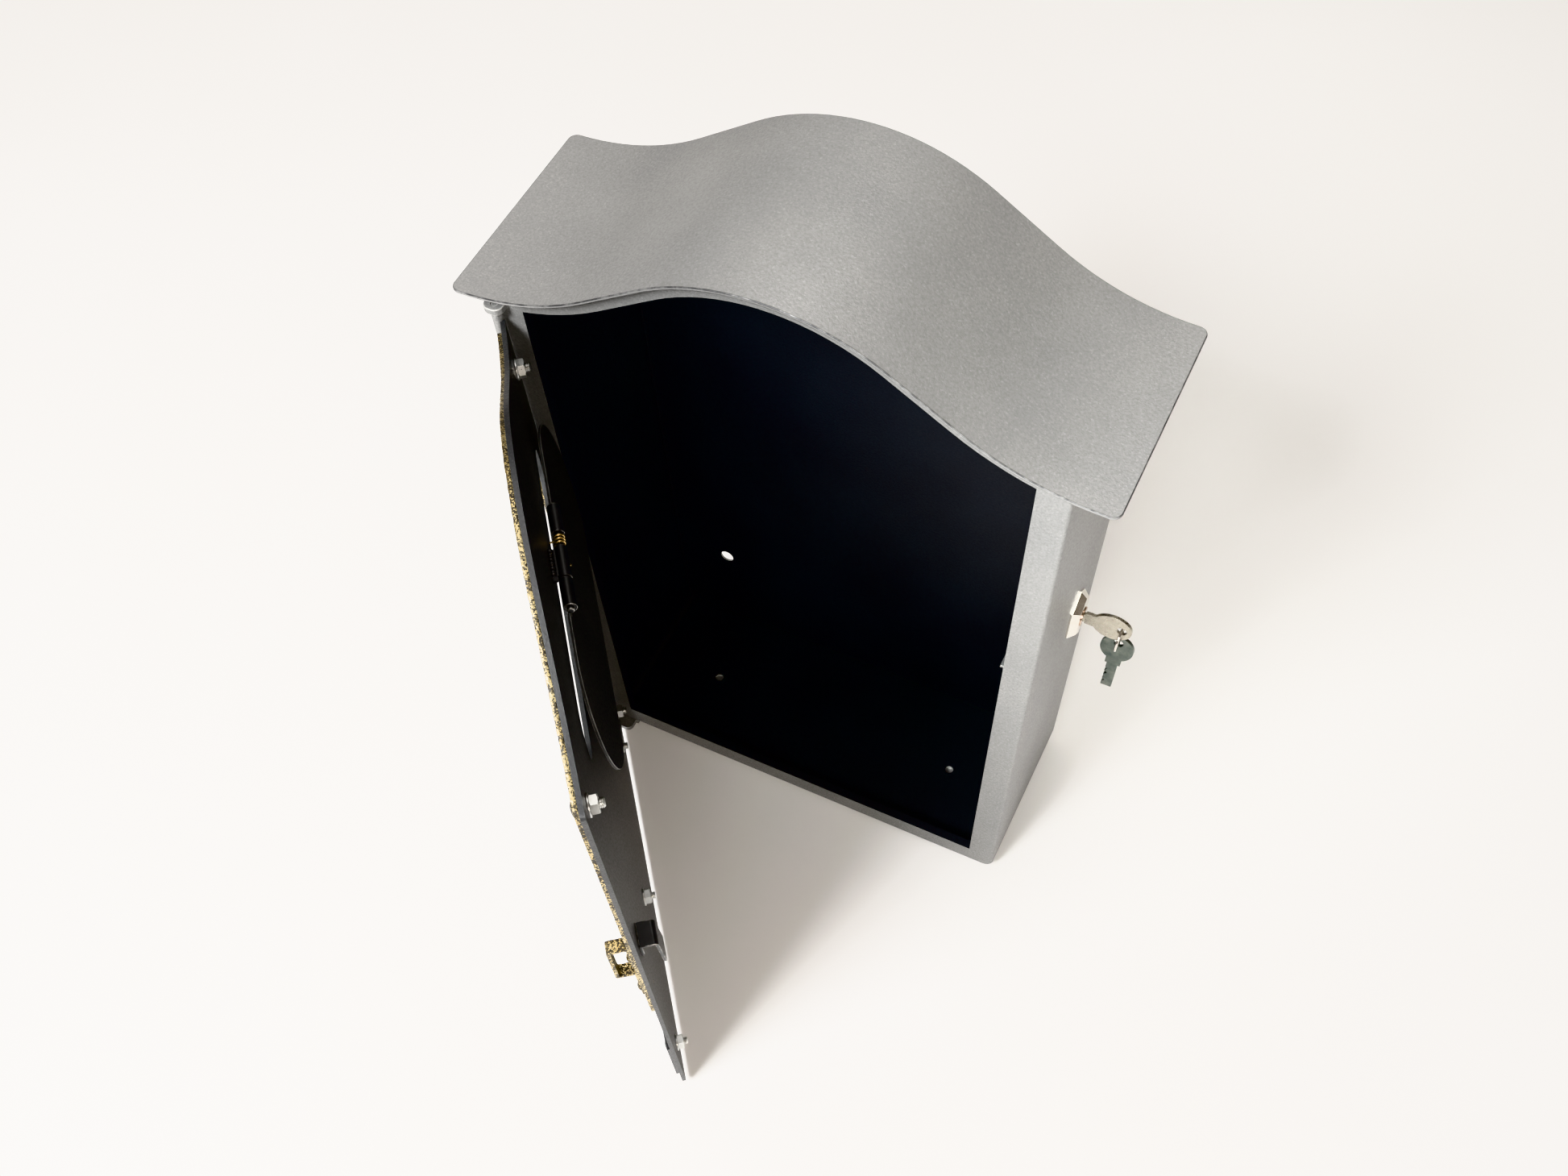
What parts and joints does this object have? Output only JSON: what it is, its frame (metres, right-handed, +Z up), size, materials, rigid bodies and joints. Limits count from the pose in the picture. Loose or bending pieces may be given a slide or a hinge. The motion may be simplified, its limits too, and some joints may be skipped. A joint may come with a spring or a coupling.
{
  "type": "wall mounted mailbox",
  "caption": "Wall mounted steel mailbox with a wavy roof, a side-hung front door with a sprung mail slot flap, hammered trim, a pull handle and a side cam lock with keys.",
  "frame": {"origin": "middle of the four wall holes on the outer face of the back panel", "axes": "+X to the right seen from the front, +Y back into the wall, +Z up"},
  "size_m": [0.3022, 0.2878, 0.3881],
  "materials": {
    "graphite_paint": "fine textured powder coat",
    "black_paint": "satin black paint",
    "aged_brass": "hammered, gold on black patina",
    "zinc": "zinc plated",
    "nickel": "bright nickel plate",
    "spring_wire": "yellow plated wire"
  },
  "bodies": {
    "housing": {"body_shell": "graphite_paint", "back_panel": "graphite_paint", "roof_sheet": "graphite_paint", "hinge_lug_lower": "graphite_paint", "hinge_lug_upper": "graphite_paint", "lock_plate": "nickel", "lock_barrel": "nickel", "lock_nut": "zinc"},
    "door": {"hinge_rod": "graphite_paint", "door_panel": "graphite_paint", "trim_frame": "aged_brass", "apron_plate": "black_paint", "trim_bolts": "aged_brass", "apron_bolts": "black_paint", "door_nuts": "zinc", "door_washers": "zinc", "pull_handle": "aged_brass", "handle_rivets": "aged_brass", "catch_hook": "black_paint", "door_knuckle": "black_paint", "knuckle_weld": "black_paint", "flap_pin": "black_paint"},
    "flap": {"flap_plate": "graphite_paint", "flap_knuckles": "black_paint", "flap_spring": "spring_wire"},
    "plug": {"lock_plug": "nickel", "lock_cam": "zinc", "cam_nut": "zinc"},
    "key": {"key": "nickel"},
    "ring": {"key_ring": "nickel"},
    "spare": {"spare_key": "nickel"}
  },
  "joints": [
    {"name": "door_hinge", "type": "hinge", "parent": "housing", "child": "door", "pos_m": [-0.124, -0.101, 0], "axis": [0, 0, 1], "range_deg": [-118, 52]},
    {"name": "flap_hinge", "type": "hinge", "parent": "door", "child": "flap", "pos_m": [-0.05168, -0.18155, 0.133], "axis": [0.6157, -0.788, 0], "range_deg": [-7.5, 62.5], "stiffness_Nm_per_rad": 0.05, "springref_deg": -17.19},
    {"name": "lock_turn", "type": "hinge", "parent": "housing", "child": "plug", "pos_m": [0.125, -0.034, 0.005], "axis": [-1, 0, 0], "range_deg": [0, 90]},
    {"name": "key_pull", "type": "slide", "parent": "plug", "child": "key", "axis": [1, 0, 0], "range_m": [0, 0.024]},
    {"name": "ring_swing", "type": "hinge", "parent": "key", "child": "ring", "pos_m": [0.1497, -0.034, 0.005], "axis": [0, 1, 0], "range_deg": [-25, 25]},
    {"name": "spare_key_swing", "type": "hinge", "parent": "ring", "child": "spare", "pos_m": [0.1497, -0.034, -0.008], "axis": [0, 1, 0], "range_deg": [-25, 25]}
  ]
}
